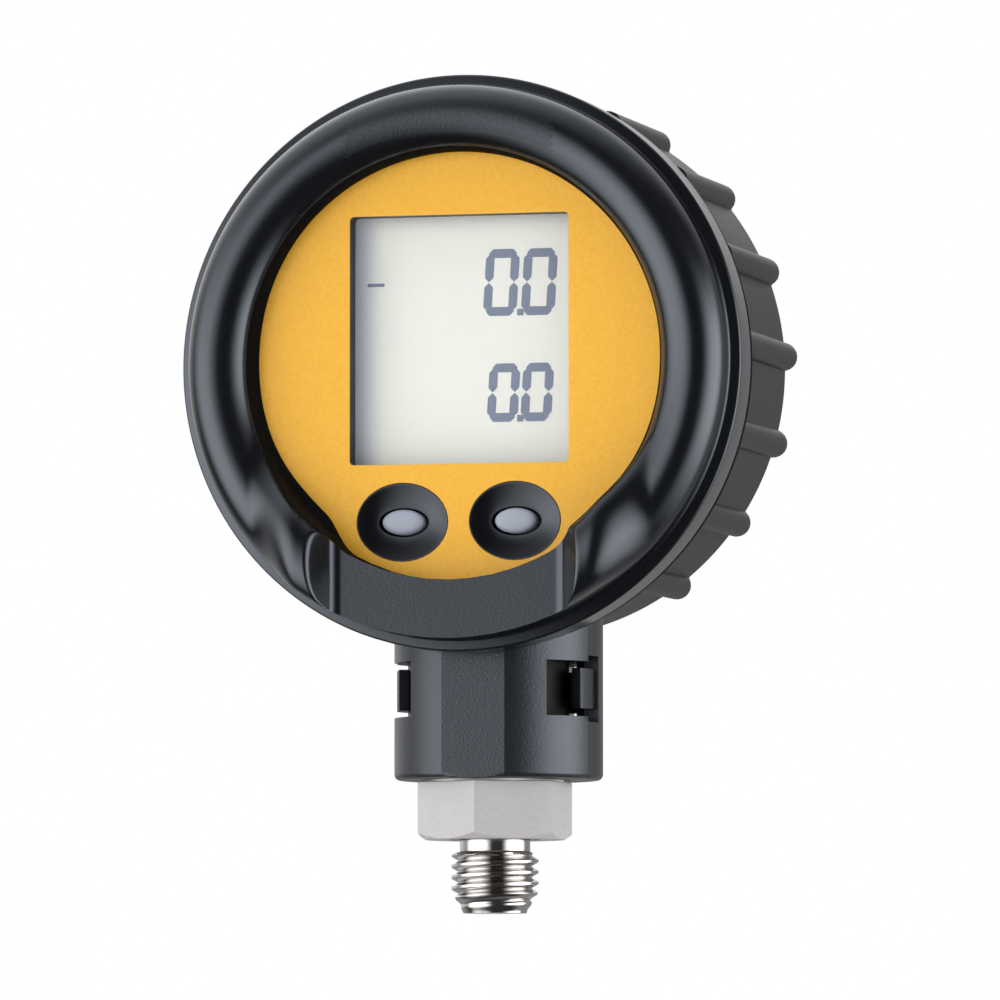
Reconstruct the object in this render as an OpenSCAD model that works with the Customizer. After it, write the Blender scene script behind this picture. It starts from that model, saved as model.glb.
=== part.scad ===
// Digital pressure gauge with a round head that swivels on its process connection.
// Origin: axis of the connection, at the hexagon's sealing face. The front looks along -Y, +Z is up.
// Depths in the head are given as distances in front of the connection's axis, towards the viewer.

/* [Connection] */
// Major diameter of the male thread
thread_d = 11.9; // [11.7:0.05:12.0]
// Pitch of the male thread
thread_pitch = 1.5; // [1.25:0.25:1.5]
// Length from the sealing face to the thread's end
thread_len = 10; // [10:0.5:14]
// Width across the flats of the hexagon
hex_af = 19; // [18:0.5:19.5]
// Height of the hexagon
hex_h = 7.85; // [7:0.05:7.85]
// Diameter of the pressure port
port_d = 5; // [3:0.5:6]

/* [Neck] */
// Outer radius of the neck
neck_r = 14.25; // [14.15:0.05:14.5]
// How far the neck's centre lies behind the connection's axis
neck_back = 1.95; // [1.8:0.05:2.1]
// Height of the neck's lower edge
neck_z = 8.15; // [8.15:0.05:8.3]
// Depth of the plane where the two halves meet
split_y = -2; // [-2.5:0.1:-1.5]

/* [Head] */
// Height of the head's centre
head_z = 63.85; // [63.5:0.05:64.2]
// Outer diameter of the bezel's flange
flange_d = 78; // [77.6:0.1:79]
// Depth of the crest beside the chin, in front of the axis
crest_f = 27.95; // [27.6:0.05:28.4]
// Depth of the label's front face in front of the axis
label_f = 19; // [18.95:0.05:19.1]
// Distance from the axis to the flat rear face
back_y = 20.2; // [20:0.1:21]
// Outer radius of the drum between its ribs
drum_r = 36.5; // [36.4:0.05:36.8]
// How far the drum's centre lies above the bezel's centre
drum_rise = 1.05; // [0.9:0.05:1.2]
// Number of ribs that fit round the drum
rib_count = 19; // [18:1:20]
// Angle of the first rib above the horizontal
rib_phase = 2.65; // [0:0.05:4]

/* [Display] */
// Width of the display opening
lcd_w = 30.6; // [30:0.1:30.8]
// Height of the display opening
lcd_h = 33.7; // [33:0.1:33.8]
// Height of the opening's centre above the head's centre
lcd_rise = 3.15; // [3.05:0.05:3.25]

/* [Buttons] */
// Distance between the two buttons
button_pitch = 15.7; // [15.6:0.05:16]
// Distance of the buttons below the head's centre
button_drop = 21.5; // [21.4:0.05:21.7]
// Travel of a button
button_travel = 0.6; // [0.4:0.1:0.6]

/* [Battery] */
// Diameter of the coin cell
cell_d = 24.5; // [20:0.5:24.5]
// Thickness of the coin cell
cell_t = 7.7; // [5:0.1:7.7]

/* [Hidden] */
$fn = 96;
eps = 0.01;
big = 100;

drum_z = head_z + drum_rise;

// Connection
relief_r = 4.8;
relief_len = 1.55;
thread_root_r = thread_d/2 - 0.9;
crest_flat = 0.35;
thread_tip_r = 4.3;
tip_chamfer = 2.6;
face_groove_r = thread_d/2 + 0.15;
face_groove_h = 0.4;
journal_r = 8;
journal_top = 31.6;
pocket_r = 6.4;
pocket_z = 25;
oring_z = 20.4;
oring_h = 2.2;
oring_r = 6.85;
clip_z = 24.6;
clip_t = 1;
clip_r = 8.9;
clip_groove_r = 7.3;
pin_z = 27.4;
pin_r = 1;

// Neck
core_r = 10.1;
sleeve_z = neck_z + 1.8;
sleeve_top = 24.4;
neck_wall = 2.05;
neck_in_r = neck_r - neck_wall;
facet_y = -11.6;
window_z = [16.6, 24.1];
window_front = 48;
tab_z = [17.65, 23.25];
tab_front = 21;
tab_r = neck_r - 0.5;
notch_z = [15.9, 24.9];
notch_span = [2.5, 17.5];
left_slot_back = -14;
rear_slot_span = [-58, -44];
slot_h = 0.85;

// Head, depths in front of the axis
flange_f = 18.6;
flange_back_f = 12.55;
drum_f = 10.6;
ring_r = 32.7;
ring_half_w = 4.3;
ring_round_f = 20.2;
chin_rise_x = [20.5, 29];
ring_base_f = label_f - 0.4;
ring_wall = 2.3;
plate_back_f = ring_base_f - 2.5;
plate_r = 35.2;
lap_r = [32.6, 34];
lap_end_f = 4.2;
seal_r = 38.7;
channel_floor_f = 24.05;
channel_half_w = 16.85;
channel_draft = 0.56;
channel_r = 29.6;
groove_x = [14.8, 16.85];
groove_depth = 0.8;
label_r = 29.95;
label_t = 0.4;
drum_wall = 2.2;
drum_fillet = 2.6;
rib_r = 1.95;
rib_rim = 0.15;
rib_end_y = back_y - 1.1;
boss_r = 29.9;
boss_angles = [45, 135, 225, 315];
board_f = [8.1, 9.7];
board_r = 32.1;
post_places = [[25.6, 2], [-25.6, 2], [0, 29], [0, -30]];

// Display, depths in front of the axis
lens_f = [15, 16];
panel_f = [13, 14.9];
reflector_f = [12.6, 13];
frame_x = 17.8;
frame_low = -14.65 - 0.9;
frame_high = 24.4;
panel_x = 16.7;
panel_low = -14.2;
panel_high = 22.9;
lens_x = 16;
lens_low = -14.1;
lens_high = 20.6;

// Buttons
dish_a = 6.43;
dish_b = 5.35;
dish_lip = 0.4;
dish_depth = 2.1;
hole_a = 3.48;
hole_b = 2;
pip_a = 2.9;
pip_b = 1.73;
pip_top_f = label_f + 0.1;
button_low_f = 14.6;

// Battery
chamber_bore = 16.6;
chamber_out = 18.8;
cover_r = 16.3;
cover_t = 2.3;
cover_boss_r = 14.5;
cover_boss_t = 2.3;
cell_y = 6.9;
cell_pocket_r = cell_d/2 + 0.45;
chamber_floor_y = [4.5, 6.1];
shoulder_y = 15.3;

// Outlines
function rounded_rect(w, h, r, n = 5) = [
    for (c = [[1, 1, 0], [-1, 1, 90], [-1, -1, 180], [1, -1, 270]])
        for (i = [0:n])
            [c[0]*(w/2 - r) + r*cos(c[2] + 90*i/n), c[1]*(h/2 - r) + r*sin(c[2] + 90*i/n)]];
function oval(a, b, n = 40) = [for (i = [0:n - 1]) [a*cos(360*i/n), b*sin(360*i/n)]];
function arc(cx, cy, a, b, from, to, n = 24) = [
    for (i = [0:n]) let (t = from + (to - from)*i/n) [cx + a*cos(t), cy + b*sin(t)]];

// Local frame of the head: x to the right, y up, z towards the viewer, with z = 0 at the given depth
module at_front(f, z = head_z) {
    translate([0, -f, z]) rotate([90, 0, 0]) children();
}
// A slab between two depths in the head's frame
module slab(f, z = head_z) {
    at_front(f[0], z) linear_extrude(f[1] - f[0]) children();
}
module ring(r_in, r_out, h) {
    difference() {
        cylinder(r = r_out, h = h);
        translate([0, 0, -1]) cylinder(r = r_in, h = h + 2);
    }
}
// A wedge of the neck's wall between two angles, counted forward from +X or from -X
module neck_sector(side, from, to, z) {
    steps = 6;
    edge = [for (i = [0:steps]) let (a = -(from + (to - from)*i/steps))
            [side*2*neck_r*cos(a), 2*neck_r*sin(a)]];
    translate([0, neck_back, z[0]]) linear_extrude(z[1] - z[0]) polygon(concat([[0, 0]], edge));
}

// Process connection
module thread() {
    core_end = thread_len - tip_chamfer;
    rotate([180, 0, 0]) {
        cylinder(r = relief_r, h = relief_len + eps);
        translate([0, 0, relief_len]) cylinder(r = thread_root_r, h = core_end - relief_len);
        translate([0, 0, core_end])
            cylinder(r1 = thread_root_r, r2 = thread_tip_r, h = tip_chamfer);
        for (z = [relief_len + thread_pitch/2:thread_pitch:core_end + thread_pitch])
            translate([0, 0, z]) thread_ridge(z < core_end ? thread_d/2 : thread_root_r + 0.35);
    }
}
module thread_ridge(r) {
    flank = (r - thread_root_r)*0.58;
    rotate_extrude() polygon([
        [thread_root_r - 1, -crest_flat/2 - flank], [thread_root_r, -crest_flat/2 - flank],
        [r, -crest_flat/2], [r, crest_flat/2],
        [thread_root_r, crest_flat/2 + flank], [thread_root_r - 1, crest_flat/2 + flank]]);
}
module hexagon() {
    chamfer_r = hex_af/2 + 0.35;
    intersection() {
        rotate([0, 0, 30]) cylinder(d = hex_af/cos(30), h = hex_h, $fn = 6);
        cylinder(r1 = chamfer_r - 0.4, r2 = chamfer_r + 3.2, h = 2.1);
    }
    intersection() {
        translate([0, 0, 2.1]) rotate([0, 0, 30])
            cylinder(d = hex_af/cos(30), h = hex_h - 2.1, $fn = 6);
        cylinder(r = hex_af, h = hex_h);
    }
}
module process_connection() color("silver") difference() {
    union() {
        thread();
        hexagon();
        translate([0, 0, hex_h - eps]) cylinder(r = journal_r, h = journal_top - hex_h + eps);
    }
    translate([0, 0, -thread_len - 1]) cylinder(d = port_d, h = thread_len + pocket_z + 2);
    translate([0, 0, -eps]) ring(relief_r, face_groove_r, face_groove_h + eps);
    translate([0, 0, pocket_z]) cylinder(r = pocket_r, h = big);
    translate([0, 0, oring_z]) ring(oring_r, journal_r + 1, oring_h);
    translate([0, 0, clip_z - 0.05]) ring(clip_groove_r, journal_r + 1, clip_t + 0.1);
    translate([0, 0, pin_z]) rotate([-90, 0, 0]) cylinder(r = pin_r, h = journal_r + 1);
}
module thrust_washer() color("white") translate([0, 0, hex_h]) ring(journal_r + 0.1, 9.4, 0.25);
module swivel_o_ring() color("black")
    translate([0, 0, oring_z + 0.1]) ring(oring_r + 0.02, journal_r - 0.02, oring_h - 0.2);
module retaining_clip() color("dimgray") translate([0, 0, clip_z]) difference() {
    ring(clip_groove_r + 0.05, clip_r, clip_t);
    translate([-12, -4, -1]) cube([9, 8, 3]);
}
module stop_pin() color("gray") translate([0, pocket_r + 0.3, pin_z]) rotate([-90, 0, 0])
    cylinder(r = pin_r - 0.02, h = core_r - 0.2 - pocket_r - 0.3);
module sensor_seal() color("black") translate([0, 0, pocket_z]) ring(4.2, pocket_r - 0.1, 1);
module sensor_cell() color("linen") translate([0, 0, pocket_z + 1]) {
    cylinder(r = pocket_r - 0.1, h = 3.4);
    for (a = [45:90:315]) rotate(a) translate([2, 0, 3.3]) cylinder(r = 0.3, h = 2.5);
}
module sensor_retaining_ring() color("silver")
    translate([0, 0, pocket_z + 4.4]) ring(3.4, pocket_r - 0.1, 2);
module sensor_board() color("darkgreen") translate([0, 0, pocket_z + 6.8]) cylinder(r = 6.8, h = 1);

// Neck and housing halves
module bearing_sleeve() color("#202124") {
    translate([0, 0, sleeve_z]) ring(journal_r + 0.05, core_r, sleeve_top - sleeve_z);
    translate([0, 0, sleeve_top - eps]) intersection() {
        ring(clip_r + 0.15, core_r, 4.4);
        linear_extrude(5) polygon([[0, 0], [-15*tan(8), -15], [15*tan(8), -15]]);
    }
}
// Whole outside of the neck, standing up into the head
module neck_outline(grow = 0) {
    foot = 0.8;
    r = neck_r + grow;
    difference() {
        translate([0, neck_back, 0]) rotate_extrude() polygon(concat(
            [[0, neck_z], [r - foot, neck_z]],
            arc(r - foot, neck_z + foot, foot, foot, -90, 0, 5),
            [[r, 34], [0, 34]]));
        translate([-big/2, facet_y - grow - big, 0]) cube([big, big, big]);
    }
}
module neck_shell() difference() {
    neck_outline();
    translate([0, neck_back, sleeve_z]) cylinder(r = neck_in_r, h = big);
    cylinder(r = journal_r + 0.45, h = big);
    translate([0, 0, sleeve_z]) cylinder(r = core_r + 0.05, h = big);
}
// The shelf under the head that holds the sleeve's upper end
module neck_shelf() difference() {
    translate([0, 0, 22.6]) intersection() {
        translate([0, neck_back, 0]) cylinder(r = neck_in_r + 0.5, h = 1.6);
        translate([-big/2, facet_y + 1, -1]) cube([big, big, 5]);
    }
    cylinder(r = core_r + 0.05, h = big);
}
module front_half() intersection() {
    children();
    translate([-big/2, split_y - 0.03 - big, 0]) cube([big, big, 2*big]);
}
module rear_half() intersection() {
    children();
    translate([-big/2, split_y + 0.03, 0]) cube([big, big, 2*big]);
}
module front_neck() difference() {
    front_half() union() {
        neck_shell();
        neck_shelf();
    }
    for (side = [-1, 1]) neck_sector(side, -5, window_front, window_z);
    at_front(-big, drum_z) cylinder(r = lap_r[0], h = 2*big);
}
module plate_outline() difference() {
    circle(r = plate_r);
    translate([0, (lens_high + lens_low)/2])
        polygon(rounded_rect(2*lens_x + 0.4, lens_high - lens_low + 0.4, 0.8));
    for (x = [-1, 1]) translate([x*button_pitch/2, -button_drop])
        polygon(oval(dish_a + dish_lip + 0.05, dish_b + dish_lip + 0.05));
}
module front_housing() color("#50565c") difference() {
    union() {
        slab([plate_back_f, ring_base_f]) plate_outline();
        slab([lap_end_f, plate_back_f + eps], drum_z) difference() {
            circle(r = lap_r[1]);
            circle(r = lap_r[0]);
        }
        slab([3.4, plate_back_f + eps], drum_z) for (a = boss_angles)
            rotate(a) translate([boss_r, 0]) circle(r = 3.1);
        slab([board_f[1], plate_back_f + eps], drum_z) for (p = post_places)
            translate(p) circle(r = 2.1);
        front_neck();
    }
    at_front(0, drum_z) for (a = boss_angles)
        rotate(a) translate([boss_r, 0, 0]) cylinder(r = 1.5, h = 14.5);
    at_front(0, drum_z) for (p = post_places)
        translate([p[0], p[1], 0]) cylinder(r = 1.15, h = 14.5);
    translate([0, neck_back, 24.4]) cylinder(r = neck_in_r, h = 9.6);
}

module drum() {
    rim = back_y - drum_fillet;
    at_front(0, drum_z) rotate_extrude() difference() {
        polygon(concat([[0, -back_y]],
            arc(drum_r - drum_fillet, -rim, drum_fillet, drum_fillet, -90, 0, 10),
            [[drum_r, drum_f], [0, drum_f]]));
        translate([0, -back_y + drum_wall]) square([drum_r - drum_wall, big]);
    }
}
module rib() {
    at_front(-(rib_end_y - rib_r), drum_z) translate([drum_r - 0.05, 0, 0]) {
        cylinder(r = rib_r, h = rib_end_y - rib_r + drum_f - rib_rim);
        sphere(r = rib_r);
    }
}
module ribs() {
    for (i = [0:rib_count - 1]) let (a = rib_phase + 360*i/rib_count)
        if (abs(a - 270) > 24)
            translate([0, 0, drum_z]) rotate([0, -a, 0]) translate([0, 0, -drum_z]) rib();
}
module rear_neck() difference() {
    rear_half() union() {
        neck_shell();
        neck_shelf();
    }
    for (side = [-1, 1]) neck_sector(side, notch_span[0], notch_span[1] + 5, notch_z);
    for (z = [tab_z[0] - slot_h, tab_z[1]]) {
        neck_sector(-1, left_slot_back, 10, [z, z + slot_h]);
        for (side = [-1, 1])
            neck_sector(side, rear_slot_span[0], rear_slot_span[1], [z, z + slot_h]);
    }
    at_front(-big, drum_z) cylinder(r = drum_r - drum_wall, h = 2*big);
}
module snap_tabs() for (side = [-1, 1]) intersection() {
    translate([0, neck_back, 0]) ring(neck_in_r, tab_r, big);
    neck_sector(side, 1, tab_front, tab_z);
}
module chamber() {
    at_front(-back_y + 1, drum_z) cylinder(r = chamber_out, h = back_y - 1 - chamber_floor_y[0]);
}
module rear_housing() color("#50565c") difference() {
    union() {
        difference() {
            union() {
                drum();
                ribs();
            }
            front_half() neck_outline(0.05);
            translate([0, neck_back, 20]) cylinder(r = neck_in_r, h = 14);
        }
        rear_neck();
        snap_tabs();
        chamber();
        slab([-back_y + 1, 3.2], drum_z) for (a = boss_angles)
            rotate(a) translate([boss_r, 0]) circle(r = 4.6);
    }
    at_front(-back_y - 1, drum_z) cylinder(r = chamber_bore, h = back_y + 1 - shoulder_y);
    at_front(-back_y - 1, drum_z) cylinder(r = cell_pocket_r, h = back_y + 1 - chamber_floor_y[1]);
    slab([-back_y, 0], drum_z) contact_slots(0.15);
    at_front(-back_y - 1, drum_z) for (a = boss_angles) rotate(a) translate([boss_r, 0, 0]) {
        cylinder(r = 3.2, h = 8.2);
        cylinder(r = 1.75, h = 40);
    }
    at_front(-back_y - 1, drum_z) translate([0, 25.5, 0]) cylinder(r = 3, h = 10);
}
module housing_seal() color("black") difference() {
    at_front(drum_f) cylinder(r = seal_r, h = flange_back_f - drum_f);
    slab([drum_f - 1, flange_back_f + 1], drum_z) circle(r = lap_r[1] + 0.05);
    neck_outline(0.1);
}
module housing_screws() color("silver") at_front(-13, drum_z) for (a = boss_angles)
    rotate(a) translate([boss_r, 0, 0]) difference() {
        union() {
            cylinder(r = 1.45, h = 26);
            translate([0, 0, -2.2]) cylinder(r = 2.8, h = 2.2);
        }
        translate([0, 0, -3]) cylinder(r = 1.25, h = 2.2, $fn = 6);
    }
module vent_plug() color("#303236") at_front(-back_y, drum_z) translate([0, 25.5, 0]) {
    cylinder(r = 2.95, h = 2.2);
    translate([0, 0, -0.5]) ring(1.2, 2.3, 0.6);
}

// Bezel
module bezel_section() {
    edge = 0.6;
    flange_r = flange_d/2;
    polygon(concat(
        [[label_r + 0.1, ring_base_f], [label_r + 0.1, label_f + 0.05],
         [ring_r - ring_half_w, label_f + 0.05]],
        arc(ring_r, ring_round_f, ring_half_w, ring_half_w, 180, 0, 30),
        [[ring_r + ring_half_w, flange_f], [flange_r - edge, flange_f]],
        arc(flange_r - edge, flange_f - edge, edge, edge, 90, 0, 4),
        [[flange_r, flange_back_f + edge]],
        arc(flange_r - edge, flange_back_f + edge, edge, edge, 0, -90, 4),
        [[plate_r + 0.1, flange_back_f], [plate_r + 0.1, ring_base_f]]));
}
module bezel_hollow() {
    polygon(concat([[ring_r + ring_half_w - ring_wall, ring_base_f - 1]],
        arc(ring_r, ring_base_f, ring_half_w - ring_wall,
            ring_round_f + ring_half_w - ring_base_f - ring_wall, 0, 180, 16),
        [[ring_r - ring_half_w + ring_wall, ring_base_f - 1]]));
}
// The chin: a higher part of the ring that slopes down to it on both sides
module chin_rise() intersection() {
    at_front(0) rotate_extrude() polygon(concat([[ring_r - ring_half_w, label_f + 0.05]],
        arc(ring_r, ring_round_f, ring_half_w, crest_f - ring_round_f, 180, 0, 30),
        [[ring_r + ring_half_w, label_f + 0.05]]));
    translate([0, 0, head_z - big]) linear_extrude(big - 14)
        polygon([for (side = [-1, 1], i = [0, 1])
            let (k = side < 0 ? 1 - i : i)
            [side*chin_rise_x[k], k == 1 ? -ring_round_f : -crest_f - 0.1]]);
}
// Space above the channel's floor, between the drafted walls
module channel_space() {
    wide = channel_half_w + channel_draft*6;
    translate([0, 0, head_z - big]) linear_extrude(big - 18)
        polygon([[-channel_half_w, -channel_floor_f], [channel_half_w, -channel_floor_f],
                 [wide, -channel_floor_f - 6], [-wide, -channel_floor_f - 6]]);
}
module channel_grooves() for (side = [-1, 1])
    translate([0, 0, head_z - big]) linear_extrude(big - 20)
        polygon([[side*groove_x[0], -channel_floor_f - 1], [side*groove_x[0], -channel_floor_f],
                 [side*(groove_x[0] + groove_x[1])/2, -channel_floor_f + groove_depth],
                 [side*groove_x[1], -channel_floor_f], [side*groove_x[1], -channel_floor_f - 1]]);
module front_bezel() color("#26282c") difference() {
    union() {
        at_front(0) rotate_extrude() bezel_section();
        chin_rise();
    }
    difference() {
        at_front(0) rotate_extrude() bezel_hollow();
        translate([-21, -big, head_z - big]) cube([42, big, big - 15]);
    }
    channel_space();
    channel_grooves();
    slab([label_f + 0.05, crest_f + 1]) intersection() {
        circle(r = channel_r);
        translate([-groove_x[0], -big]) square([2*groove_x[0], big]);
    }
}
module label_disc() color("#e9b03c") slab([ring_base_f, label_f]) difference() {
    circle(r = label_r);
    translate([0, lcd_rise]) polygon(rounded_rect(lcd_w, lcd_h, 0.6));
    for (x = [-1, 1]) translate([x*button_pitch/2, -button_drop]) polygon(oval(dish_a, dish_b));
}

// Display
module block_xy(x, low, high) {
    translate([-x, low]) square([2*x, high - low]);
}
module lcd_frame() color("#1d1e20") difference() {
    union() {
        slab([10.6, plate_back_f]) block_xy(frame_x, frame_low, frame_high);
        slab([plate_back_f - eps, ring_base_f]) translate([0, (lens_high + lens_low)/2])
            polygon(rounded_rect(2*lens_x + 0.3, lens_high - lens_low + 0.3, 0.8));
    }
    slab([10, panel_f[1] + 0.1]) block_xy(panel_x + 0.1, panel_low - 0.1, panel_high + 0.1);
    slab([10, lens_f[1] + 0.02]) block_xy(15.6, lens_low + 0.3, lens_high - 0.3);
    slab([10, label_f]) translate([0, lcd_rise]) polygon(rounded_rect(lcd_w, lcd_h, 0.6));
}
module display_window() color("lightblue", 0.4)
    slab(lens_f) block_xy(15.5, lens_low + 0.4, lens_high - 0.4);
module lcd_panel() color("#dfe1d8") slab(panel_f) block_xy(panel_x, panel_low, panel_high);
module lcd_reflector() color("white") slab(reflector_f) block_xy(panel_x, panel_low, 20.4);
module lcd_connector() color("dimgray")
    slab([board_f[1], panel_f[0]]) translate([-14, 20.7]) square([28, 2]);

// One segment of a digit, a bar with pointed ends along x
module segment(len, w) {
    polygon([[-len/2, 0], [-len/2 + w/2, w/2], [len/2 - w/2, w/2],
             [len/2, 0], [len/2 - w/2, -w/2], [-len/2 + w/2, -w/2]]);
}
// A seven-segment zero of the given size, slanted a little
module zero_digit(w, h, stroke) {
    slant = 0.06;
    multmatrix([[1, slant, 0, 0], [0, 1, 0, 0], [0, 0, 1, 0], [0, 0, 0, 1]]) {
        for (y = [-1, 1]) translate([0, y*(h - stroke)/2]) segment(w - stroke*0.6, stroke);
        for (x = [-1, 1], y = [-1, 1]) translate([x*(w - stroke)/2, y*(h - stroke)/4])
            rotate(90) segment((h - stroke)/2 - 0.1, stroke);
    }
}
module reading(x_mid, w, h, step) {
    stroke = 1.2;
    for (s = [-1, 1]) translate([x_mid + s*step/2, 0]) zero_digit(w, h, stroke);
    translate([x_mid - 0.45, -h/2]) square([0.9, 0.9]);
}
module lcd_segments() color("#53627c") slab([panel_f[1], panel_f[1] + 0.05]) translate([0, lcd_rise]) {
    translate([0, 7.85]) reading(7.55, 4.7, 9.05, 5.3);
    translate([0, -7.08]) reading(7.55, 4.3, 7.9, 4.7);
    translate([-13.9, 7.62]) square([2.4, 0.45]);
}

// Buttons
module dish_bowl() {
    slope = [[1, 0], [0.86, 0.42], [0.72, 0.8], [0.6, 1]];
    for (i = [0:2]) {
        a = dish_a*slope[i][0];
        b = dish_b*slope[i][0];
        next = slope[i + 1][0]/slope[i][0];
        translate([0, 0, -dish_depth*slope[i + 1][1]])
            mirror([0, 0, 1]) translate([0, 0, -dish_depth*(slope[i + 1][1] - slope[i][1]) - eps])
                linear_extrude(dish_depth*(slope[i + 1][1] - slope[i][1]) + eps, scale = next)
                    polygon(oval(a - 0.15, b - 0.15));
    }
}
module button_dishes() color("#1c1d20") for (x = [-1, 1])
    at_front(0) translate([x*button_pitch/2, -button_drop, 0]) difference() {
        union() {
            translate([0, 0, plate_back_f])
                linear_extrude(ring_base_f - plate_back_f - 0.02)
                    polygon(oval(dish_a + dish_lip, dish_b + dish_lip));
            translate([0, 0, plate_back_f]) linear_extrude(label_f - plate_back_f)
                polygon(oval(dish_a - 0.03, dish_b - 0.03));
        }
        translate([0, 0, label_f]) dish_bowl();
        translate([0, 0, plate_back_f - 1]) linear_extrude(5) polygon(oval(hole_a, hole_b));
    }
module button(x) at_front(0) translate([x, -button_drop, 0]) {
    translate([0, 0, button_low_f + 0.3]) linear_extrude(pip_top_f - button_low_f - 0.8)
        polygon(oval(pip_a, pip_b));
    translate([0, 0, pip_top_f - 0.5]) linear_extrude(0.5, scale = 0.8) polygon(oval(pip_a, pip_b));
    translate([0, 0, button_low_f + 0.2]) linear_extrude(0.8) polygon(oval(4.4, 3.2));
    translate([0, 0, button_low_f]) cylinder(r = 1.6, h = 0.4);
}
module button_left() color("#aab1c0") button(-button_pitch/2);
module button_right() color("#aab1c0") button(button_pitch/2);

// Electronics
module circuit_board() color("darkgreen") slab(board_f, drum_z) difference() {
    circle(r = board_r);
    for (a = boss_angles) rotate(a) translate([boss_r, 0]) circle(r = 3.5);
    for (p = post_places) translate(p) circle(r = 1.2);
}
module tactile_switches() color("#2b2b2e") for (x = [-1, 1])
    at_front(board_f[1]) translate([x*button_pitch/2, -button_drop, 0]) {
        translate([-3, -3, 0]) cube([6, 6, 3.4]);
        cylinder(r = 1.7, h = button_low_f - board_f[1] - button_travel - 0.1);
    }
module microcontroller() color("#1b1b1d")
    slab([board_f[0] - 1.5, board_f[0]]) translate([-5, -3]) square([10, 10]);
module board_components() {
    color("silver") slab([board_f[0] - 3, board_f[0]]) translate([-15, 4]) square([4, 10]);
    color("tan") for (i = [0:3])
        slab([board_f[0] - 1, board_f[0]]) translate([-14 + 2.6*i, -8]) square([1.4, 2.2]);
    color("ivory") slab([board_f[0] - 4, board_f[0]]) translate([-3, -24.8]) square([6, 5]);
}
module board_screws() color("silver") at_front(board_f[0], drum_z) for (p = post_places)
    translate([p[0], p[1], 0]) {
        translate([0, 0, -1.5]) cylinder(r = 2.1, h = 1.5);
        cylinder(r = 1.1, h = 6);
    }
module sensor_lead() color("gray") {
    bend = 4;
    plug_z = head_z - 22.3;
    low = pocket_z + 8.1;
    translate([0, 0, low]) cylinder(r = 1, h = plug_z - bend - low);
    translate([0, -bend, plug_z - bend]) rotate([0, -90, 0])
        rotate_extrude(angle = 90) translate([bend, 0]) circle(r = 1);
}

// Battery and its cover
module contact_slots(gap) {
    translate([-1.5 - gap, 8 - gap]) square([3 + 2*gap, 0.5 + 2*gap]);
    translate([cell_pocket_r - 0.2, -2 - gap]) square([0.7 + gap, 4 + 2*gap]);
}
module battery() color("silver") at_front(-(cell_y + cell_t), drum_z) {
    cylinder(d = cell_d, h = cell_t - 0.8);
    cylinder(d = cell_d - 3, h = cell_t);
}
module battery_contact_negative() color("gold") {
    slab([-cell_y + 0.05, -chamber_floor_y[1]], drum_z) circle(r = 6);
    slab([-cell_y + 0.05, board_f[0]], drum_z) translate([-1.5, 8]) square([3, 0.5]);
    slab([-cell_y + 0.05, -chamber_floor_y[1]], drum_z) translate([-1.5, 5]) square([3, 3.5]);
}
module battery_contact_positive() color("gold")
    slab([-cell_y - cell_t + 1, board_f[0]], drum_z)
        translate([cell_pocket_r - 0.15, -2]) square([0.5, 4]);
module battery_cover() color("#3a3e42") at_front(-back_y, drum_z) difference() {
    union() {
        cylinder(r = cover_r, h = cover_t);
        translate([0, 0, cover_t - eps]) cylinder(r = cover_boss_r, h = cover_boss_t + eps);
    }
    translate([-11, -1, -1]) cube([22, 2, 2.6]);
}
module battery_cover_seal() color("black")
    at_front(-back_y + cover_t + 0.05, drum_z) ring(cover_boss_r + 0.02, cover_r - 0.05, 1.7);

process_connection();
thrust_washer();
swivel_o_ring();
retaining_clip();
stop_pin();
sensor_seal();
sensor_cell();
sensor_retaining_ring();
sensor_board();
bearing_sleeve();
front_housing();
rear_housing();
housing_seal();
front_bezel();
label_disc();
lcd_frame();
display_window();
lcd_panel();
lcd_segments();
lcd_reflector();
lcd_connector();
button_dishes();
button_left();
button_right();
circuit_board();
tactile_switches();
microcontroller();
board_components();
board_screws();
sensor_lead();
battery();
battery_contact_positive();
battery_contact_negative();
battery_cover();
battery_cover_seal();
housing_screws();
vent_plug();
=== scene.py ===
"""Looks of a digital pressure gauge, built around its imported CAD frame.

Lengths in the mesh code are millimetres. Depths in the head count forwards from the connection's axis.
"""
import math

import bmesh
import bpy
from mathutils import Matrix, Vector, geometry


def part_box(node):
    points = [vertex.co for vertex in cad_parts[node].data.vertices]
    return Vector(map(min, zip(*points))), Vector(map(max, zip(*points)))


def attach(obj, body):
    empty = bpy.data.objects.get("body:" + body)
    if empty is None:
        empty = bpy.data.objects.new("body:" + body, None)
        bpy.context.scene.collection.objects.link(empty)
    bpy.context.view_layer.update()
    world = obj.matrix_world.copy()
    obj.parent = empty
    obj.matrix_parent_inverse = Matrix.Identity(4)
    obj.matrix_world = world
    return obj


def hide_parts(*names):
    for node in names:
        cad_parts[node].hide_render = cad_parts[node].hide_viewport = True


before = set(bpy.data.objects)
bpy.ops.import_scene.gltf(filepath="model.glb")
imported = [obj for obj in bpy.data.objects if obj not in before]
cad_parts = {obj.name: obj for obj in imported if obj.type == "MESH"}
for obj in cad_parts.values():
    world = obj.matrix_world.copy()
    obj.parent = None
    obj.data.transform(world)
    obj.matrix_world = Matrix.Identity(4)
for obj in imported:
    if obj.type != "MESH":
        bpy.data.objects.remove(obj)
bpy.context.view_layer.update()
MM = 0.001


def box_mm(node):
    """Lowest and highest corner of a CAD node in millimetres."""
    low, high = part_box(node)
    return low / MM, high / MM


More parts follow.
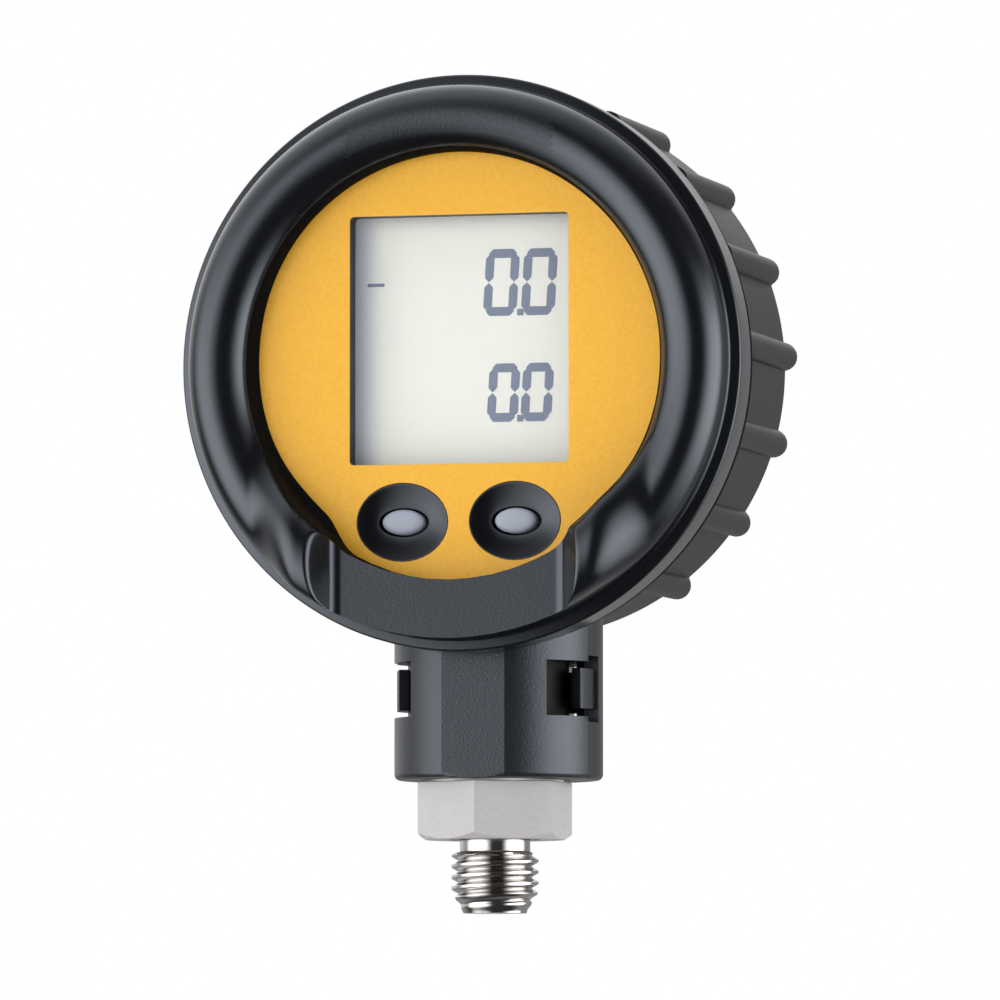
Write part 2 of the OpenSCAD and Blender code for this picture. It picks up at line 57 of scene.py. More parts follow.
# Measures taken from the frame
bezel_low, bezel_high = box_mm("front_bezel")
FLANGE_R = (bezel_high.x - bezel_low.x) / 2
HEAD_Z = (bezel_high.z + bezel_low.z) / 2
FLANGE_BACK_F = -bezel_high.y
cover_low, cover_high = box_mm("battery_cover")
COVER_R = (cover_high.x - cover_low.x) / 2
DRUM_Z = (cover_high.z + cover_low.z) / 2
BACK_Y = cover_high.y
COVER_INNER_Y = cover_low.y
label_low, label_high = box_mm("label_disc")
LABEL_F = -label_low.y
LABEL_R = (label_high.x - label_low.x) / 2
connection_low, connection_high = box_mm("process_connection")
THREAD_END_Z = round(connection_low.z, 3)
JOURNAL_TOP_Z = connection_high.z
dish_low, dish_high = box_mm("button_dishes")
BUTTON_Z = (dish_low.z + dish_high.z) / 2
left_low, left_high = box_mm("button_left")
BUTTON_X = -(left_low.x + left_high.x) / 2
PIP_TOP_F = -left_low.y

# Measures that follow the part's source
FLANGE_F = 18.6
PLATE_FRONT_F = 18.6
PLATE_BACK_F = 16.1
PLATE_R = 35.2
LAP_R = (32.6, 34)
LAP_END_F = 4.2
RING_ROUND_F = 20.2
CHANNEL_FLOOR_F = 24.05
CHANNEL_R = 29.6
DRUM_F = 10.6
DRUM_R = 36.5
DRUM_WALL = 2.2
DRUM_FILLET = 2.6
RIB_R = 1.95
RIB_COUNT = 19
RIB_PHASE = 2.65
RIB_RIM = 0.15
RIB_CENTRE_R = DRUM_R - 0.05
RIB_END_Y = BACK_Y - 1.1
RIB_BALL_Y = RIB_END_Y - RIB_R
FILLET_Y = BACK_Y - DRUM_FILLET
CHAMBER_R = 16.6
CHAMBER_OUT_R = 18.8
CHAMBER_FLOOR_Y = (4.5, 6.1)
CELL_POCKET_R = 12.7
SHOULDER_Y = 15.3
SCREW_R = 29.9
SCREW_HOLE_R = 3.2
SCREW_SHANK_R = 1.75
SCREW_TURNS = (45, 135, 225, 315)
WELL_OUT_R = 4.6
WELL_FLOOR_Y = (11.2, 13)
VENT_RISE = 25.5
VENT_HOLE_R = 3.0
NECK_R = 14.25
NECK_IN_R = 12.2
NECK_BACK = 1.95
NECK_Z = 8.15
NECK_FLOOR_Z = 9.95
NECK_TOP_Z = 32
NECK_HOLE_R = 8.45
FACET_Y = -11.6
SPLIT_Y = -2
WINDOW_Z = (16.6, 24.1)
WINDOW_FRONT = 48
NOTCH_FRONT = 2.5
LEFT_SLOT_BACK = -14
REAR_SLOT_SPAN = (-58, -44)
SHELF_R = 10.15
SHELF_Z = (24.15, 25.5)
TAB_Z = (17.65, 23.25)
TAB_R = NECK_R - 0.5
NOTCH_Z = (15.9, 24.9)
HEX_H = 7.85
HEX_AF = 19
RELIEF_R = 4.8
RELIEF_Z = -1.55
THREAD_ROOT_R = 5.05
THREAD_CREST_R = 5.95
PITCH = 1.5
PORT_R = 2.5
JOURNAL_R = 8
POCKET_R = 6.4
POCKET_Z = 25
CLIP_GROOVE_R = 7.3
CLIP_GROOVE_Z = (24.55, 25.65)
SEAL_GROOVE_R = 6.85
SEAL_GROOVE_Z = (20.4, 22.6)
FACE_GROOVE_R = 6.1
FACE_GROOVE_H = 0.4
DISH_A = 6.43
DISH_B = 5.35
PIP_A = 2.9
PIP_B = 1.73


def smooth_step(low, high, value):
    """0 below low, 1 above high and a smooth rise between them."""
    t = min(1, max(0, (value - low) / (high - low)))
    return t * t * (3 - 2 * t)


def soft_min(a, b, width):
    """The smaller of two values, rounded where they come within width of each other."""
    blend = max(width - abs(a - b), 0) / width
    return min(a, b) - blend * blend * width / 4


def soft_max(a, b, width):
    return -soft_min(-a, -b, width)


def interpolate(table, value):
    """Straight-line value from a table of (position, value) pairs."""
    if value <= table[0][0]:
        return table[0][1]
    for (x0, y0), (x1, y1) in zip(table, table[1:]):
        if value <= x1:
            return y0 + (y1 - y0) * (value - x0) / (x1 - x0)
    return table[-1][1]


# Materials
def nodes_of(name):
    """A new material with its node tree and its shader."""
    material = bpy.data.materials.new(name)
    material.use_nodes = True
    tree = material.node_tree
    return material, tree, tree.nodes["Principled BSDF"]


def add(tree, kind, **values):
    """A node with the given settings; names with a leading capital are its sockets."""
    node = tree.nodes.new(kind)
    for key, value in values.items():
        if key[0].isupper():
            node.inputs[key.replace("_", " ")].default_value = value
        else:
            setattr(node, key, value)
    return node


def noise(tree, scale, detail=3.0, stretch=(1, 1, 1)):
    """Noise over the object's own coordinates, with features of about 1/scale metres."""
    place = tree.nodes.new("ShaderNodeTexCoord")
    mapping = add(tree, "ShaderNodeMapping", Scale=stretch)
    texture = add(tree, "ShaderNodeTexNoise", Scale=scale, Detail=detail)
    tree.links.new(place.outputs["Object"], mapping.inputs["Vector"])
    tree.links.new(mapping.outputs["Vector"], texture.inputs["Vector"])
    return texture


def tint(tree, source, shader, dark, light, low=0.35, high=0.65):
    """Colour between dark and light that follows a texture."""
    ramp = tree.nodes.new("ShaderNodeValToRGB")
    ramp.color_ramp.elements[0].position = low
    ramp.color_ramp.elements[0].color = (*dark, 1)
    ramp.color_ramp.elements[1].position = high
    ramp.color_ramp.elements[1].color = (*light, 1)
    tree.links.new(source, ramp.inputs["Fac"])
    if shader:
        tree.links.new(ramp.outputs["Color"], shader.inputs["Base Color"])
    return ramp


def vary_roughness(tree, source, shader, low, high):
    """Roughness between low and high that follows a texture."""
    span = add(tree, "ShaderNodeMapRange", To_Min=low, To_Max=high)
    tree.links.new(source, span.inputs["Value"])
    tree.links.new(span.outputs["Result"], shader.inputs["Roughness"])


def roughen(tree, source, shader, strength, depth_mm):
    """Fine relief that follows a texture."""
    bump = add(tree, "ShaderNodeBump", Strength=strength, Distance=depth_mm * MM)
    tree.links.new(source, bump.inputs["Height"])
    tree.links.new(bump.outputs["Normal"], shader.inputs["Normal"])


def plastic(name, colour, spread, rough, grain_scale, grain_mm, specular=0.5, sheen=(1, 1, 1)):
    """Moulded plastic or rubber with a fine grain and slightly uneven colour."""
    material, tree, shader = nodes_of(name)
    shader.inputs["Specular IOR Level"].default_value = specular
    shader.inputs["Specular Tint"].default_value = (*sheen, 1)
    wide = noise(tree, 90, 4)
    dark = [c * (1 - spread) for c in colour]
    light = [c * (1 + spread) for c in colour]
    tint(tree, wide.outputs["Fac"], shader, dark, light)
    vary_roughness(tree, wide.outputs["Fac"], shader, rough - 0.04, rough + 0.04)
    fine = noise(tree, grain_scale, 2)
    roughen(tree, fine.outputs["Fac"], shader, 0.5, grain_mm)
    return material


def metal(name, colour, rough, line_scale, line_mm, stretch=(1, 1, 1), metallic=1.0):
    """Machined metal with fine tool lines."""
    material, tree, shader = nodes_of(name)
    shader.inputs["Metallic"].default_value = metallic
    lines = noise(tree, line_scale, 4, stretch)
    dark = [c * 0.92 for c in colour]
    tint(tree, lines.outputs["Fac"], shader, dark, colour)
    vary_roughness(tree, lines.outputs["Fac"], shader, rough - 0.05, rough + 0.05)
    roughen(tree, lines.outputs["Fac"], shader, 0.4, line_mm)
    return material


SLATE = (0.0115, 0.0122, 0.0142)
BLACK = (0.0048, 0.0054, 0.0066)
COOL = (0.84, 0.92, 1.04)
MATERIALS = {
    "housing": plastic("housing_grain", SLATE, 0.05, 0.34, 3000, 0.07, 0.5, COOL),
    "drum": plastic("drum_grain", SLATE, 0.05, 0.4, 4200, 0.02, 0.3, COOL),
    "bezel": plastic("bezel_satin_black", BLACK, 0.08, 0.21, 2600, 0.0012, 0.53, COOL),
    "bezel_chin": plastic("bezel_chin_grain", BLACK, 0.08, 0.36, 3000, 0.06, 0.5, COOL),
    "bezel_wall": plastic("bezel_wall_black", BLACK, 0.08, 0.6, 2600, 0.0012, 0.02),
    "dish": plastic("dish_black", (0.004, 0.004, 0.005), 0.1, 0.24, 2600, 0.002, 0.45, COOL),
    "pip": plastic("pip_pale", (0.33, 0.36, 0.43), 0.03, 0.45, 3000, 0.003),
    "rubber": plastic("rubber_black", (0.003, 0.003, 0.0035), 0.1, 0.7, 3000, 0.006, 0.05),
    "sleeve": plastic("sleeve_black", (0.004, 0.004, 0.005), 0.1, 0.6, 3000, 0.004, 0.15),
    "frame": plastic("frame_black", (0.007, 0.0075, 0.009), 0.1, 0.45, 3000, 0.004, 0.4),
    "cover": plastic("cover_grain", SLATE, 0.05, 0.36, 3000, 0.07, 0.5, COOL),
    "chip": plastic("chip_black", (0.015, 0.015, 0.016), 0.1, 0.5, 3000, 0.004),
    "white": plastic("white_plastic", (0.78, 0.78, 0.76), 0.02, 0.45, 2600, 0.003),
    "ceramic": plastic("sensor_ceramic", (0.75, 0.73, 0.68), 0.02, 0.5, 2600, 0.004),
    "board": plastic("board_green", (0.02, 0.12, 0.04), 0.12, 0.35, 900, 0.006),
    "lead": plastic("lead_grey", (0.2, 0.2, 0.21), 0.04, 0.5, 2000, 0.004),
    "steel": metal("steel_satin", (0.49, 0.475, 0.475), 0.6, 900, 0.004, (1, 1, 4), 0.12),
    "polished": metal("steel_polished", (0.52, 0.505, 0.49), 0.12, 900, 0.001),
    "spring": metal("spring_steel", (0.45, 0.45, 0.46), 0.3, 1500, 0.003),
    "component": metal("component_metal", (0.6, 0.6, 0.6), 0.3, 1500, 0.003),
    "cell": metal("cell_steel", (0.7, 0.7, 0.7), 0.22, 900, 0.002),
    "brass": metal("contact_brass", (0.75, 0.6, 0.3), 0.28, 1500, 0.003),
}


def make_label():
    """Satin yellow foil with a fine sparkle."""
    material, tree, shader = nodes_of("label_satin")
    fleck = noise(tree, 2400, 3)
    tint(tree, fleck.outputs["Fac"], shader, (0.79, 0.385, 0.012), (0.85, 0.445, 0.024), 0.3, 0.7)
    vary_roughness(tree, fleck.outputs["Fac"], shader, 0.36, 0.5)
    roughen(tree, fleck.outputs["Fac"], shader, 0.35, 0.006)
    return material


# Where the painted shadow of the frame lies across the display's left edge, in millimetres of X
FRAME_SHADOW_X = (-15.2, -11.3)


def make_display():
    """Pale display glass, with the frame's shadow painted on it as a darker band along its left edge."""
    material, tree, shader = nodes_of("display_pale")
    place = tree.nodes.new("ShaderNodeTexCoord")
    parts = tree.nodes.new("ShaderNodeSeparateXYZ")
    # Painted shadow: blue-grey at the display's left edge, fading to the pale colour, in place of the frame's
    # shadow
    band = add(tree, "ShaderNodeMapRange", From_Min=FRAME_SHADOW_X[0] * MM, From_Max=FRAME_SHADOW_X[1] * MM)
    band.interpolation_type = "SMOOTHSTEP"
    tree.links.new(place.outputs["Object"], parts.inputs["Vector"])
    tree.links.new(parts.outputs["X"], band.inputs["Value"])
    ramp = tint(tree, band.outputs["Result"], None, (0.66, 0.74, 0.85), (0.84, 0.85, 0.79), 0, 1)
    weave = noise(tree, 1500, 2)
    light = tint(tree, weave.outputs["Fac"], None, (0.97, 0.97, 0.97), (1, 1, 1))
    blend = add(tree, "ShaderNodeMix", data_type="RGBA", blend_type="MULTIPLY")
    blend.inputs["Factor"].default_value = 1
    tree.links.new(ramp.outputs["Color"], blend.inputs[6])
    tree.links.new(light.outputs["Color"], blend.inputs[7])
    tree.links.new(blend.outputs[2], shader.inputs["Base Color"])
    shader.inputs["Roughness"].default_value = 0.5
    shader.inputs["Specular IOR Level"].default_value = 0.3
    return material


def make_window():
    """Thin clear window that lets the display through with a faint gloss."""
    material, tree, shader = nodes_of("window_clear")
    haze = noise(tree, 60, 2)
    tint(tree, haze.outputs["Fac"], shader, (0.90, 0.92, 0.92), (0.95, 0.96, 0.96))
    shader.inputs["Roughness"].default_value = 0.06
    shader.inputs["Alpha"].default_value = 0.07
    return material


MATERIALS["label"] = make_label()
MATERIALS["display"] = make_display()
MATERIALS["window"] = make_window()
MATERIALS["segment"] = plastic("segment_blue_grey", (0.105, 0.145, 0.25), 0.04, 0.5, 1500, 0.001, 0.2)


# Meshes
class Builder:
    """Collects points in millimetres and faces, then makes one closed object of them."""

    def __init__(self):
        self.points = []
        self.faces = []
        self.looks = {}

    def paint(self, start, look):
        """Gives the faces added since start the material of that number."""
        for index in range(start, len(self.faces)):
            self.looks[index] = look

    def ring(self, points):
        """Adds points and returns their numbers."""
        start = len(self.points)
        self.points.extend(points)
        return list(range(start, len(self.points)))

    def bridge(self, first, second):
        """Faces between two closed rings of as many points."""
        for i in range(len(first)):
            j = (i + 1) % len(first)
            self.faces.append((first[i], first[j], second[j], second[i]))

    def bridge_all(self, rings, closed=False):
        pairs = list(zip(rings, rings[1:]))
        if closed:
            pairs.append((rings[-1], rings[0]))
        for first, second in pairs:
            self.bridge(first, second)

    def fill(self, outer, holes=()):
        """Flat faces inside a ring, round the rings of its holes."""
        loops = [outer, *holes]
        outlines = [[Vector(self.points[i]) for i in loop] for loop in loops]
        flat = [i for loop in loops for i in loop]
        for triangle in geometry.tessellate_polygon(outlines):
            self.faces.append(tuple(flat[t] for t in triangle))

    def make(self, name, body, material, slot, stands_for=(), sharp=35, bevel=0.0):
        """The finished piece; material names its looks in the order that paint counts them."""
        mesh = bpy.data.meshes.new(name)
        mesh.from_pydata([tuple(c * MM for c in p) for p in self.points], [], self.faces)
        for index, look in self.looks.items():
            mesh.polygons[index].material_index = look
        work = bmesh.new()
        work.from_mesh(mesh)
        bmesh.ops.remove_doubles(work, verts=work.verts, dist=1e-7)
        bmesh.ops.recalc_face_normals(work, faces=work.faces)
        work.to_mesh(mesh)
        work.free()
        for look in material.split():
            mesh.materials.append(MATERIALS[look])
        mesh.shade_smooth()
        obj = bpy.data.objects.new(name, mesh)
        bpy.context.scene.collection.objects.link(obj)
        if bevel:
            edge = obj.modifiers.new("edge", "BEVEL")
            edge.width = bevel * MM
            edge.segments = 2
            edge.limit_method = "ANGLE"
            edge.angle_limit = math.radians(sharp)
            even = obj.modifiers.new("even", "WEIGHTED_NORMAL")
            even.keep_sharp = True
        else:
            mesh.set_sharp_from_angle(angle=math.radians(sharp))
        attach(obj, body)
        if stands_for:
            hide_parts(*stands_for)
        return obj


def circle(r, y, z=DRUM_Z, x=0.0, count=96):
    """Ring of points in the head's plane, at depth y."""
    steps = [2 * math.pi * i / count for i in range(count)]
    return [(x + r * math.cos(t), y, z + r * math.sin(t)) for t in steps]


def oval(a, b, f, x, z, count=72):
    """Ring of points on an upright oval at a depth in front of the connection's axis."""
    steps = [2 * math.pi * i / count for i in range(count)]
    return [(x + a * math.cos(t), -f, z + b * math.sin(t)) for t in steps]


def turned(builder, section, z=DRUM_Z, x=0.0, count=96, closed=True):
    """Rings along a (radius, y) section round an axis along Y."""
    rings = [builder.ring(circle(r, y, z, x, count)) for r, y in section]
    builder.bridge_all(rings, closed)
    return rings


# Bezel: one section swept round the head, lowered inside the chin channel. Its ring is a little fuller than
# in the part's source. STATIONS are the places across the chin where the section is laid.
RING_R = 33.2
RING_OUTER_W = 4.25
RING_INNER_W = 4.75
RING_HEIGHT = 4.25
WALL_R = RING_R - RING_INNER_W
HORN_F = 28.5
HORN_RISE_X = (20.5, 28)
HORN_SQUARENESS = 0.72
CHANNEL_FLOOR_X = 14.85
CHANNEL_FILLET = 1.9
CHANNEL_WALL = math.radians(58)
CHANNEL_SOFTNESS = 0.6
WALL_DRAFT = 0.5
HORN_DRAFT = 0.6
STATIONS = [0, 3, 6, 9, 12, 14] + [14.65 + 0.2 * i for i in range(26)] + [20 + 0.55 * i for i in range(15)]
UPPER_COLUMNS = 168
SECTION_STEPS = 60
WALL_FOOT_ROW = 2
INNER_WALL_STEPS = 9


def bezel_section():
    """Section as (radius, angle in the round part, depth), with one of the last two left out."""
    foot = RING_R + RING_OUTER_W
    rim = LABEL_R + 0.1
    wall_foot_f = LABEL_F + 0.05
    rows = [(rim, None, PLATE_FRONT_F), (rim, None, wall_foot_f), (WALL_R, None, wall_foot_f)]
    for i in range(SECTION_STEPS + 1):
        turn = 180 - 180 * i / SECTION_STEPS
        half_w = RING_INNER_W if turn > 90 else RING_OUTER_W
        rows.append((RING_R + half_w * math.cos(math.radians(turn)), turn, None))
    rows += [(foot, None, FLANGE_F + 0.6), (foot + 0.03, None, FLANGE_F + 0.42),
             (foot + 0.12, None, FLANGE_F + 0.3), (foot + 0.28, None, FLANGE_F + 0.22)]
    edge = 0.4
    for start, middle in ((78, FLANGE_F - 0.1 - edge), (0, FLANGE_BACK_F + edge)):
        for i in range(6):
            t = math.radians(start - 18 * i)
            rows.append((FLANGE_R - edge + edge * math.cos(t), None, middle + edge * math.sin(t)))
    rows += [(PLATE_R + 0.1, None, FLANGE_BACK_F), (PLATE_R + 0.1, None, PLATE_FRONT_F)]
    return rows


def ring_rise(x):
    """How far the ring has risen into the horn beside the chin: 0 away from it, 1 in full."""
    start, end = HORN_RISE_X
    return 1 - smooth_step(start, end, abs(x))


def ring_depth(x, turn):
    """Depth of the ring's surface, round away from the chin and squarer in the horn."""
    rise = ring_rise(x)
    height = RING_HEIGHT + (HORN_F - RING_ROUND_F - RING_HEIGHT) * rise
    share = max(0, math.sin(math.radians(turn))) ** (1 - HORN_SQUARENESS * rise)
    return RING_ROUND_F + height * share


def channel_height(x):
    """Depth of the chin's surface at a distance from its middle: floor, fillet and drafted wall."""
    beyond = abs(x) - CHANNEL_FLOOR_X
    fillet_x = CHANNEL_FILLET * math.sin(CHANNEL_WALL)
    if beyond <= 0:
        return CHANNEL_FLOOR_F
    if beyond < fillet_x:
        return CHANNEL_FLOOR_F + CHANNEL_FILLET - math.sqrt(CHANNEL_FILLET ** 2 - beyond ** 2)
    fillet_f = CHANNEL_FILLET * (1 - math.cos(CHANNEL_WALL))
    return CHANNEL_FLOOR_F + fillet_f + (beyond - fillet_x) * math.tan(CHANNEL_WALL)


def wall_draft(x, z):
    """How far the foot of the inner wall stands inwards of its top, by the place round the ring."""
    up = (z - HEAD_Z) / WALL_R
    side = WALL_DRAFT * (1 - smooth_step(-0.1, 0.75, up))
    if up > 0:
        return side
    return (side + HORN_DRAFT * ring_rise(x)) * smooth_step(15, 19.5, abs(x))


def make_bezel():
    """Lower half in columns of constant X, and the rest in columns of constant angle."""
    builder = Builder()
    lower = [-x for x in reversed(STATIONS[1:])] + STATIONS
    edge_x = STATIONS[-1]
    rings = []
    for index, (r, turn, f) in enumerate(bezel_section()):
        at_foot = index == WALL_FOOT_ROW
        ring = []
        for x in lower:
            radius = r
            if at_foot or turn is not None:
                radius = max(r, CHANNEL_R - (CHANNEL_R - WALL_R) * smooth_step(14, 19, abs(x)))
            drop = math.sqrt(radius ** 2 - x ** 2)
            share = 1 - wall_draft(x, HEAD_Z - drop) / radius if at_foot else 1
            depth = f
            if turn is not None:
                depth = soft_min(ring_depth(x, turn), channel_height(x), CHANNEL_SOFTNESS)
            ring.append((x * share, -depth, HEAD_Z - drop * share))
        for i in range(1, UPPER_COLUMNS):
            radius = r
            start = math.asin(edge_x / r) if r > edge_x else math.pi / 2
            angle = start + (2 * math.pi - 2 * start) * i / UPPER_COLUMNS
            if at_foot:
                radius -= wall_draft(edge_x, HEAD_Z - r * math.cos(angle))
            depth = f if turn is None else ring_depth(edge_x, turn)
            ring.append((radius * math.sin(angle), -depth, HEAD_Z - radius * math.cos(angle)))
        rings.append(builder.ring(ring))
    wall_end = WALL_FOOT_ROW + 1 + INNER_WALL_STEPS
    builder.bridge_all(rings[:WALL_FOOT_ROW])
    first = len(builder.faces)
    builder.bridge_all(rings[WALL_FOOT_ROW - 1:wall_end + 1])
    builder.paint(first, 1)
    builder.bridge_all(rings[wall_end:])
    builder.bridge(rings[-1], rings[0])
    for index, face in enumerate(builder.faces):
        corners = [builder.points[i] for i in face]
        if all(abs(x) <= CHANNEL_FLOOR_X and -y > CHANNEL_FLOOR_F - 0.05 for x, y, z in corners):
            builder.looks[index] = 2
    return builder.make("bezel", "housing", "bezel bezel_wall bezel_chin", "bezel_black", ["front_bezel"],
                        sharp=38)


make_bezel()


# Rear drum with its ribs, flat back and bores
RIB_FRONT_ROUND = 0.3
RIB_SKIRT_SLOPE = 0.4
RIB_BLEND = 0.35
RIB_SINK = 1.3
NECK_GAP_DEGREES = 24


def drum_columns():
    """Angles round the drum with the offset from the nearest rib, or None where there is no rib."""
    cell = 360 / RIB_COUNT
    half = cell / 2
    offsets = [math.degrees(math.asin(RIB_R * math.sin(math.radians(t)) / RIB_CENTRE_R))
               for t in range(-90, 91, 15)]
    beyond = [math.degrees(math.asin((RIB_R + d) / RIB_CENTRE_R)) for d in (0.2, 0.5, 1.0)]
    last = beyond[-1]
    spaces = [last + (half - last) * i / 4 for i in range(1, 4)]
    outside = beyond + spaces
    offsets = [-o for o in reversed(outside)] + offsets + outside + [half]
    columns = []
    for i in range(RIB_COUNT):
        centre = RIB_PHASE + cell * i
        ribbed = abs(centre - 270) > NECK_GAP_DEGREES
        for offset in offsets:
            columns.append((math.radians(centre + offset), math.radians(offset) if ribbed else None))
    return columns


def drum_radius(y, offset):
    """Radius of the drum's surface at a depth and an angle from the nearest rib's middle."""
    radius = DRUM_R
    if y > FILLET_Y:
        radius += math.sqrt(max(0, DRUM_FILLET ** 2 - (y - FILLET_Y) ** 2)) - DRUM_FILLET
    if offset is None:
        return radius
    reach = RIB_R
    if y > RIB_BALL_Y:
        reach = math.sqrt(max(0, RIB_R ** 2 - (y - RIB_BALL_Y) ** 2))
    sink = (DRUM_R - radius) * smooth_step(RIB_BALL_Y, RIB_END_Y, y)
    start = y + DRUM_F - RIB_RIM
    if start < RIB_FRONT_ROUND:
        reach *= math.sqrt(max(0, 1 - (1 - max(0, start) / RIB_FRONT_ROUND) ** 2))
    side = RIB_CENTRE_R * math.sin(offset)
    if abs(side) >= reach:
        rib = RIB_CENTRE_R * math.cos(offset) - RIB_SKIRT_SLOPE * (abs(side) - reach)
    else:
        rib = RIB_CENTRE_R * math.cos(offset) + math.sqrt(reach ** 2 - side ** 2)
    return soft_max(radius, rib - RIB_SINK * sink, RIB_BLEND)


def make_drum():
    """Ribbed wall, flat back with the bores' mouths, and the inside."""
    builder = Builder()
    front = -DRUM_F
    rows = [front + RIB_RIM, front + 0.2, front + 0.3, front + 0.45, -6, -1, 4, 9, 13, 16]
    rows += [RIB_BALL_Y + RIB_R * math.sin(math.radians(t)) for t in (0, 18, 34, 48, 60, 71, 81)]
    rows += [FILLET_Y + DRUM_FILLET * math.sin(math.radians(t)) for t in range(0, 91, 9)]
    rows = sorted(rows)
    rows = [y for i, y in enumerate(rows) if i == 0 or y - rows[i - 1] > 0.04]
    rows = [y for y in rows if y < BACK_Y - 0.01]
    columns = drum_columns()

    def around(y, radius_at):
        ring = []
        for angle, offset in columns:
            radius = radius_at(offset)
            ring.append((radius * math.cos(angle), y, DRUM_Z + radius * math.sin(angle)))
        return builder.ring(ring)

    inner_r = DRUM_R - DRUM_WALL
    inner_y = BACK_Y - DRUM_WALL
    rings = [around(inner_y, lambda offset: inner_r), around(front, lambda offset: inner_r),
             around(front, lambda offset: DRUM_R - RIB_RIM)]
    rings += [around(y, lambda offset, y=y: drum_radius(y, offset)) for y in rows]
    rings += [around(BACK_Y, lambda offset, d=d: drum_radius(BACK_Y, offset) - d) for d in (0, 0.15)]
    builder.bridge_all(rings)
    bores = [(0, DRUM_Z, CHAMBER_R, 128), (0, DRUM_Z + VENT_RISE, VENT_HOLE_R, 40)]
    for turn in SCREW_TURNS:
        x = SCREW_R * math.cos(math.radians(turn))
        z = DRUM_Z + SCREW_R * math.sin(math.radians(turn))
        bores.append((x, z, SCREW_HOLE_R, 40))
    mouths = []
    ends = []
    for x, z, r, count in bores:
        bore = [builder.ring(circle(r + d, y, z, x, count)) for d, y in
                ((0.34, BACK_Y), (0.22, BACK_Y), (0.08, BACK_Y - 0.06), (0, BACK_Y - 0.2), (0, inner_y))]
        builder.bridge_all(bore)
        mouths.append(bore[0])
        ends.append(bore[-1])
    builder.fill(rings[-1], mouths)
    builder.fill(rings[0], ends)
    return builder.make("drum", "housing", "drum", "housing_slate", ["rear_housing"], sharp=38)


make_drum()


def make_wells():
    """The battery chamber and the four screw wells behind the drum's back wall."""
    wall_y = BACK_Y - DRUM_WALL
    chamber_back_y, chamber_floor_y = CHAMBER_FLOOR_Y
    well_back_y, well_floor_y = WELL_FLOOR_Y
    chamber = Builder()
    rings = turned(chamber, [(CELL_POCKET_R, chamber_floor_y), (CELL_POCKET_R, SHOULDER_Y),
                             (CHAMBER_R, SHOULDER_Y), (CHAMBER_R, wall_y), (CHAMBER_OUT_R, wall_y),
                             (CHAMBER_OUT_R, chamber_back_y)], closed=False)
    chamber.fill(rings[0])
    chamber.fill(rings[-1])
    chamber.make("battery_chamber", "housing", "housing", "housing_slate", ["rear_housing"], bevel=0.12)
    wells = Builder()
    for turn in SCREW_TURNS:
        x = SCREW_R * math.cos(math.radians(turn))
        z = DRUM_Z + SCREW_R * math.sin(math.radians(turn))
        turned(wells, [(SCREW_SHANK_R, well_back_y), (SCREW_SHANK_R, well_floor_y),
                       (SCREW_HOLE_R, well_floor_y), (SCREW_HOLE_R, wall_y), (WELL_OUT_R, wall_y),
                       (WELL_OUT_R, well_back_y)], z, x, 40)
    wells.make("screw_wells", "housing", "housing", "housing_slate", ["rear_housing"])


make_wells()


# Neck: two shells with their openings
def neck_outer_r(turn, profile_r):
    """Outer radius at an angle from +X, cut by the flat facet in front."""
    forward = -math.sin(math.radians(turn))
    if forward <= 0:
        return profile_r
    return min(profile_r, (NECK_BACK - FACET_Y) / forward)


def hole_r(turn, r):
    """Distance from the neck's centre to a circle about the connection's axis."""
    y = -NECK_BACK * math.sin(math.radians(turn))
    return y + math.sqrt(max(0, y * y - NECK_BACK ** 2 + r * r))


def neck_shell(turns, keep):
    """A closed shell over the given angles, with the cells left out for which keep is false."""
    foot = 0.8
    foot_steps = [(NECK_R - foot + foot * math.sin(math.radians(t)),
                   NECK_Z + foot - foot * math.cos(math.radians(t))) for t in (0, 18, 36, 54, 72, 90)]
    heights = sorted({10.6, 13, NOTCH_Z[0], WINDOW_Z[0], TAB_Z[0], TAB_Z[1], WINDOW_Z[1], NOTCH_Z[1],
                      20.4, 27.5, NECK_TOP_Z})
    rows = [(None, NECK_Z, None, NECK_FLOOR_Z)]
    for i, (r, z) in enumerate(foot_steps):
        rows.append((r, z, NECK_IN_R, NECK_FLOOR_Z + 0.02 * i))
    rows += [(NECK_R, z, NECK_IN_R, z) for z in heights]
    builder = Builder()
    outer = []
    inner = []
    for out_r, out_z, in_r, in_z in rows:
        outer_row = []
        inner_row = []
        for turn in turns:
            c = math.cos(math.radians(turn))
            s = math.sin(math.radians(turn))
            r_out = hole_r(turn, NECK_HOLE_R) if out_r is None else neck_outer_r(turn, out_r)
            r_in = hole_r(turn, NECK_HOLE_R) if in_r is None else in_r
            outer_row.append((r_out * c, NECK_BACK + r_out * s, out_z))
            inner_row.append((r_in * c, NECK_BACK + r_in * s, in_z))
        outer.append(builder.ring(outer_row))
        inner.append(builder.ring(inner_row))
    row_count = len(rows) - 1
    turn_count = len(turns) - 1

    def kept(i, j):
        if not (0 <= i < row_count and 0 <= j < turn_count):
            return False
        middle_z = (rows[i][1] + rows[i + 1][1]) / 2
        return keep((turns[j] + turns[j + 1]) / 2, middle_z)

    for i in range(row_count):
        for j in range(turn_count):
            if not kept(i, j):
                continue
            builder.faces.append((outer[i][j], outer[i][j + 1], outer[i + 1][j + 1], outer[i + 1][j]))
            builder.faces.append((inner[i][j], inner[i + 1][j], inner[i + 1][j + 1], inner[i][j + 1]))
            if not kept(i - 1, j):
                builder.faces.append((outer[i][j], outer[i][j + 1], inner[i][j + 1], inner[i][j]))
            if not kept(i + 1, j):
                builder.faces.append((outer[i + 1][j], outer[i + 1][j + 1],
                                      inner[i + 1][j + 1], inner[i + 1][j]))
            if not kept(i, j - 1):
                builder.faces.append((outer[i][j], outer[i + 1][j], inner[i + 1][j], inner[i][j]))
            if not kept(i, j + 1):
                builder.faces.append((outer[i][j + 1], outer[i + 1][j + 1],
                                      inner[i + 1][j + 1], inner[i][j + 1]))
    return builder


